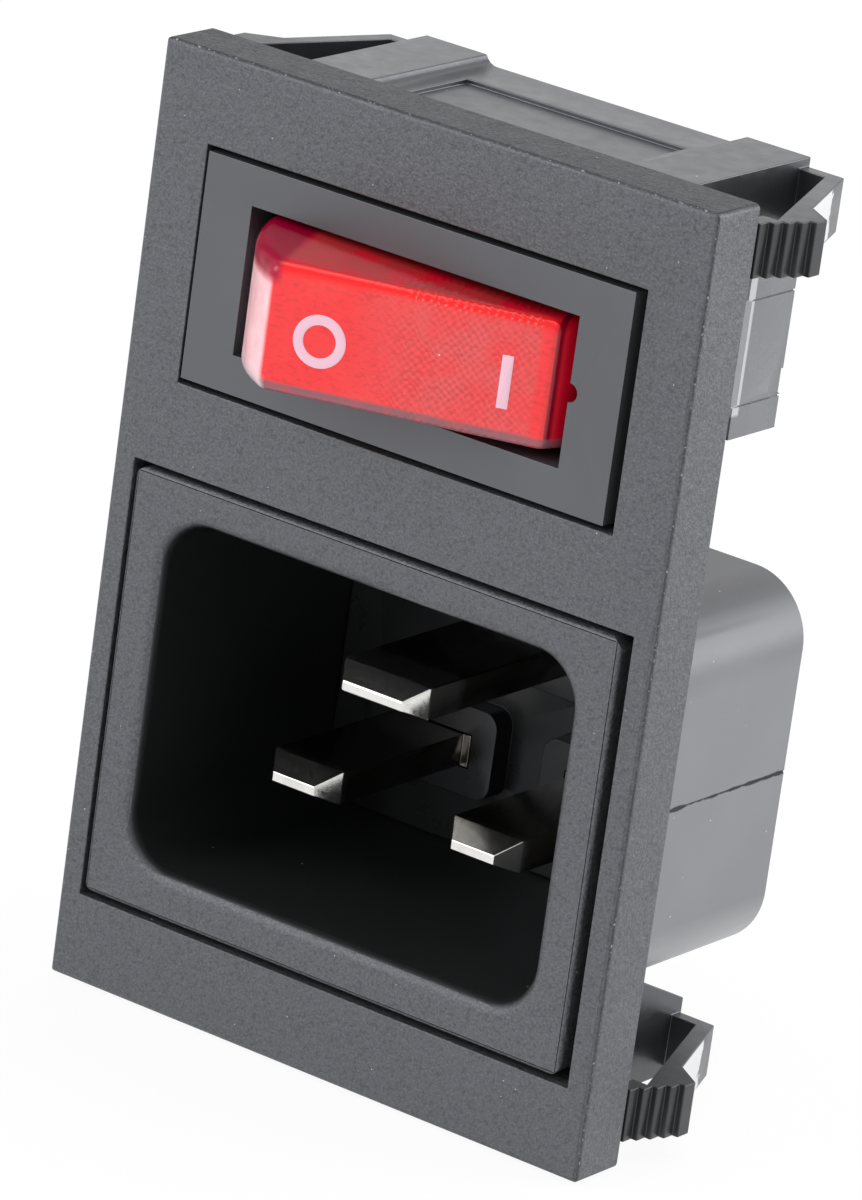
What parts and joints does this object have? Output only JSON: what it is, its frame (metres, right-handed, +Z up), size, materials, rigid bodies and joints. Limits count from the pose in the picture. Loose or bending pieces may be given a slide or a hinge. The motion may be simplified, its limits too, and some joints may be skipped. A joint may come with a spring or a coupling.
{
  "type": "power entry module",
  "caption": "Snap-in power entry module: a lit red rocker switch above a recessed three-blade appliance inlet in one rectangular front frame.",
  "frame": {"origin": "centre of the front plate's back face, where the panel seats", "axes": "+X to the right seen from the front, +Y to the back, +Z up"},
  "size_m": [0.041, 0.0359, 0.0572],
  "materials": {
    "frame_plastic": "black moulded nylon with a fine spark-eroded grain on the front",
    "housing_plastic": "black moulded nylon, smooth and satin",
    "inlet_plastic": "black moulded nylon, fine grain on the face, glossy outside body",
    "dark_plastic": "black moulded nylon, glossy",
    "red_lens": "see-through red polycarbonate with printed white marks",
    "white_plastic": "natural white moulded nylon",
    "spring_steel": "bright drawn wire",
    "copper_strip": "rolled copper alloy strip",
    "contact_silver": "silver contact alloy, dull",
    "tab_brass": "rolled brass strip, sheared edges",
    "pin_nickel": "nickel-plated brass, fine grinding lines",
    "lamp_glass": "clear soft glass with a faint warm tint",
    "resistor_lacquer": "dipped lacquer with colour bands"
  },
  "bodies": {
    "module": {"mounting_frame": "frame_plastic", "switch_housing": "housing_plastic", "switch_base": "dark_plastic", "upper_common_terminal": "tab_brass", "lower_common_terminal": "tab_brass", "upper_load_terminal": "tab_brass", "lower_load_terminal": "tab_brass", "upper_fixed_contact": "contact_silver", "lower_fixed_contact": "contact_silver", "inlet_body": "inlet_plastic", "inlet_base": "dark_plastic", "line_pin": "pin_nickel", "neutral_pin": "pin_nickel", "earth_pin": "pin_nickel"},
    "rocker": {"rocker_lens": "red_lens", "rocker_carrier": "white_plastic", "upper_plunger_spring": "spring_steel", "lower_plunger_spring": "spring_steel", "neon_lamp": "lamp_glass", "lamp_leads": "spring_steel", "ballast_resistor": "resistor_lacquer"},
    "upper_plunger_body": {"upper_plunger": "white_plastic"},
    "lower_plunger_body": {"lower_plunger": "white_plastic"},
    "upper_seesaw": {"upper_contact_blade": "copper_strip", "upper_moving_contact": "contact_silver"},
    "lower_seesaw": {"lower_contact_blade": "copper_strip", "lower_moving_contact": "contact_silver"}
  },
  "joints": [
    {"name": "rocker_tilt", "type": "hinge", "parent": "module", "child": "rocker", "pos_m": [-0.00027, 0, 0.01611], "axis": [0, 0, -1], "range_deg": [0, 39]},
    {"name": "upper_plunger_slide", "type": "slide", "parent": "rocker", "child": "upper_plunger_body", "axis": [-0.3338, 0.9426, 0], "range_m": [-0.0004, 0], "stiffness_N_per_m": 400, "springref_m": 0.0005, "deforming": ["upper_plunger_spring"]},
    {"name": "lower_plunger_slide", "type": "slide", "parent": "rocker", "child": "lower_plunger_body", "axis": [-0.3338, 0.9426, 0], "range_m": [-0.0004, 0], "stiffness_N_per_m": 400, "springref_m": 0.0005, "deforming": ["lower_plunger_spring"]},
    {"name": "upper_blade_tilt", "type": "hinge", "parent": "module", "child": "upper_seesaw", "pos_m": [-0.00027, 0.0099, 0.01791], "axis": [0, 0, -1], "range_deg": [-12.1, 0]},
    {"name": "lower_blade_tilt", "type": "hinge", "parent": "module", "child": "lower_seesaw", "pos_m": [-0.00027, 0.0099, 0.01431], "axis": [0, 0, -1], "range_deg": [-12.1, 0]}
  ],
  "couplings": [
    {"joint": "upper_blade_tilt", "follows": "rocker_tilt", "ratio": -0.30769},
    {"joint": "lower_blade_tilt", "follows": "rocker_tilt", "ratio": -0.30769}
  ]
}
